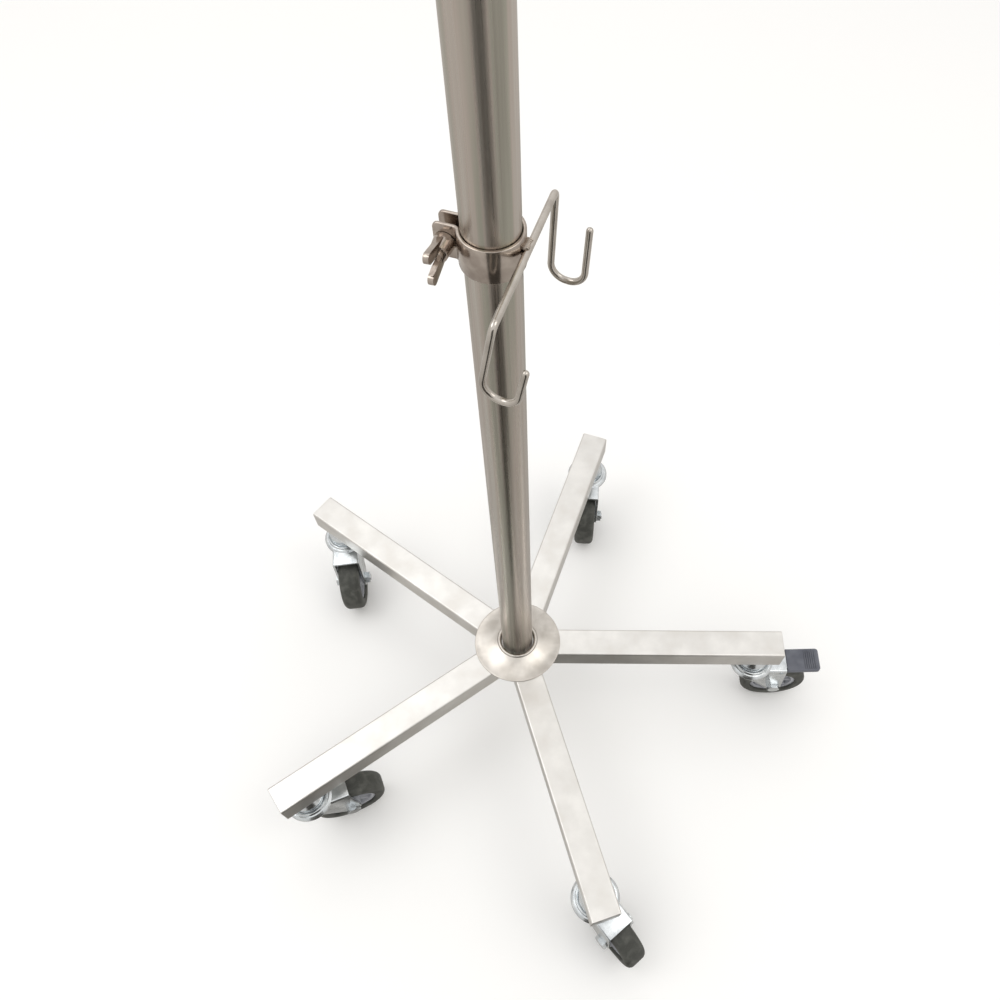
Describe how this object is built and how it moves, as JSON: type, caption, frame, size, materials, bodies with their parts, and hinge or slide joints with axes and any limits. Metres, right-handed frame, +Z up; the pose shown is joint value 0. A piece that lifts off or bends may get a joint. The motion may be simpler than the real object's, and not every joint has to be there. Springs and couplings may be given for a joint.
{
  "type": "infusion stand",
  "caption": "Rolling infusion stand: telescoping steel pole with bag hooks on a spider base with swivel casters, one braked, and a sliding clamp with a double wire hook.",
  "frame": {"origin": "on the pole's axis, at floor level", "axes": "+Z up along the pole; +X along the arm with the braked caster; handed as built, arms counted anticlockwise from above"},
  "size_m": [0.5863, 0.5929, 1.209],
  "materials": {
    "pole_steel": "satin drawn tube",
    "arm_steel": "satin box tube",
    "spun_steel": "spun and satin polished",
    "fitting_steel": "tumbled, polished edges",
    "zinc_steel": "bright zinc plate",
    "bearing_steel": "ground",
    "grey_rubber": "matt moulded rubber",
    "rim_plastic": "moulded grey plastic",
    "pedal_plastic": "moulded slate grey plastic",
    "black_plastic": "moulded black plastic"
  },
  "bodies": {
    "base": {"arm_end_plates": "arm_steel", "base_arm_1": "arm_steel", "base_arm_2": "arm_steel", "base_arm_3": "arm_steel", "base_arm_4": "arm_steel", "base_arm_5": "arm_steel", "base_bolt": "zinc_steel", "base_hub": "arm_steel", "base_washer": "zinc_steel", "caster_stems": "zinc_steel", "lock_collar": "fitting_steel", "outer_pole": "pole_steel", "pole_cover": "spun_steel", "pole_plug": "pole_steel", "stem_nuts": "zinc_steel", "top_races": "zinc_steel"},
    "mast": {"inner_pole": "pole_steel", "guide_bush": "black_plastic", "hook_head": "fitting_steel", "bag_hooks": "fitting_steel"},
    "lock_knob": {"lock_knob": "black_plastic", "lock_screw": "fitting_steel"},
    "hook_clamp": {"clamp_band": "fitting_steel", "hook_wire": "fitting_steel", "clamp_screw": "fitting_steel"},
    "wing_nut": {"wing_nut": "fitting_steel"},
    "caster_1": {"swivel_fork_1": "zinc_steel", "swivel_balls_1": "bearing_steel", "axle_set_1": "zinc_steel", "brake_pin": "zinc_steel"},
    "wheel_1": {"wheel_rim_1": "rim_plastic", "tyre_1": "grey_rubber"},
    "caster_2": {"swivel_fork_2": "zinc_steel", "swivel_balls_2": "bearing_steel", "axle_set_2": "zinc_steel"},
    "wheel_2": {"wheel_rim_2": "rim_plastic", "tyre_2": "grey_rubber"},
    "caster_3": {"swivel_fork_3": "zinc_steel", "swivel_balls_3": "bearing_steel", "axle_set_3": "zinc_steel"},
    "wheel_3": {"wheel_rim_3": "rim_plastic", "tyre_3": "grey_rubber"},
    "caster_4": {"swivel_fork_4": "zinc_steel", "swivel_balls_4": "bearing_steel", "axle_set_4": "zinc_steel"},
    "wheel_4": {"wheel_rim_4": "rim_plastic", "tyre_4": "grey_rubber"},
    "caster_5": {"swivel_fork_5": "zinc_steel", "swivel_balls_5": "bearing_steel", "axle_set_5": "zinc_steel"},
    "wheel_5": {"wheel_rim_5": "rim_plastic", "tyre_5": "grey_rubber"},
    "brake": {"brake_lever": "zinc_steel", "brake_pedal": "pedal_plastic"}
  },
  "joints": [
    {"name": "mast_slide", "type": "slide", "parent": "base", "child": "mast", "axis": [0, 0, 1], "range_m": [0, 0.7]},
    {"name": "lock_knob_turn", "type": "hinge", "parent": "base", "child": "lock_knob", "pos_m": [0.03, 0, 1.115], "axis": [1, 0, 0], "range_deg": [0, 360]},
    {"name": "hook_clamp_slide", "type": "slide", "parent": "base", "child": "hook_clamp", "axis": [0, 0, 1], "range_m": [-0.44, 0.36]},
    {"name": "wing_nut_turn", "type": "hinge", "parent": "hook_clamp", "child": "wing_nut", "pos_m": [-0.02298, 0.00694, 0.6713], "axis": [-0.289, -0.9573, 0], "range_deg": [0, 720]},
    {"name": "caster_swivel_1", "type": "hinge", "parent": "base", "child": "caster_1", "pos_m": [0.265, 0, 0.09], "axis": [0, 0, 1], "continuous": true},
    {"name": "wheel_spin_1", "type": "hinge", "parent": "caster_1", "child": "wheel_1", "pos_m": [0.299, 0.0003, 0.0375], "axis": [-0.0087, 1, 0], "continuous": true},
    {"name": "caster_swivel_2", "type": "hinge", "parent": "base", "child": "caster_2", "pos_m": [0.08189, 0.25203, 0.09], "axis": [0, 0, 1], "continuous": true},
    {"name": "wheel_spin_2", "type": "hinge", "parent": "caster_2", "child": "wheel_2", "pos_m": [0.08011, 0.21808, 0.0375], "axis": [0.9986, -0.0523, 0], "continuous": true},
    {"name": "caster_swivel_3", "type": "hinge", "parent": "base", "child": "caster_3", "pos_m": [-0.21439, 0.15576, 0.09], "axis": [0, 0, 1], "continuous": true},
    {"name": "wheel_spin_3", "type": "hinge", "parent": "caster_3", "child": "wheel_3", "pos_m": [-0.21025, 0.12202, 0.0375], "axis": [0.9925, 0.1219, 0], "continuous": true},
    {"name": "caster_swivel_4", "type": "hinge", "parent": "base", "child": "caster_4", "pos_m": [-0.21439, -0.15576, 0.09], "axis": [0, 0, 1], "continuous": true},
    {"name": "wheel_spin_4", "type": "hinge", "parent": "caster_4", "child": "wheel_4", "pos_m": [-0.18309, -0.14248, 0.0375], "axis": [-0.3907, 0.9205, 0], "continuous": true},
    {"name": "caster_swivel_5", "type": "hinge", "parent": "base", "child": "caster_5", "pos_m": [0.08189, -0.25203, 0.09], "axis": [0, 0, 1], "continuous": true},
    {"name": "wheel_spin_5", "type": "hinge", "parent": "caster_5", "child": "wheel_5", "pos_m": [0.10329, -0.27845, 0.0375], "axis": [0.7771, 0.6293, 0], "continuous": true},
    {"name": "brake_press", "type": "hinge", "parent": "caster_1", "child": "brake", "pos_m": [0.299, 0.0003, 0.0793], "axis": [-0.0087, 1, 0], "range_deg": [0, 16]}
  ]
}
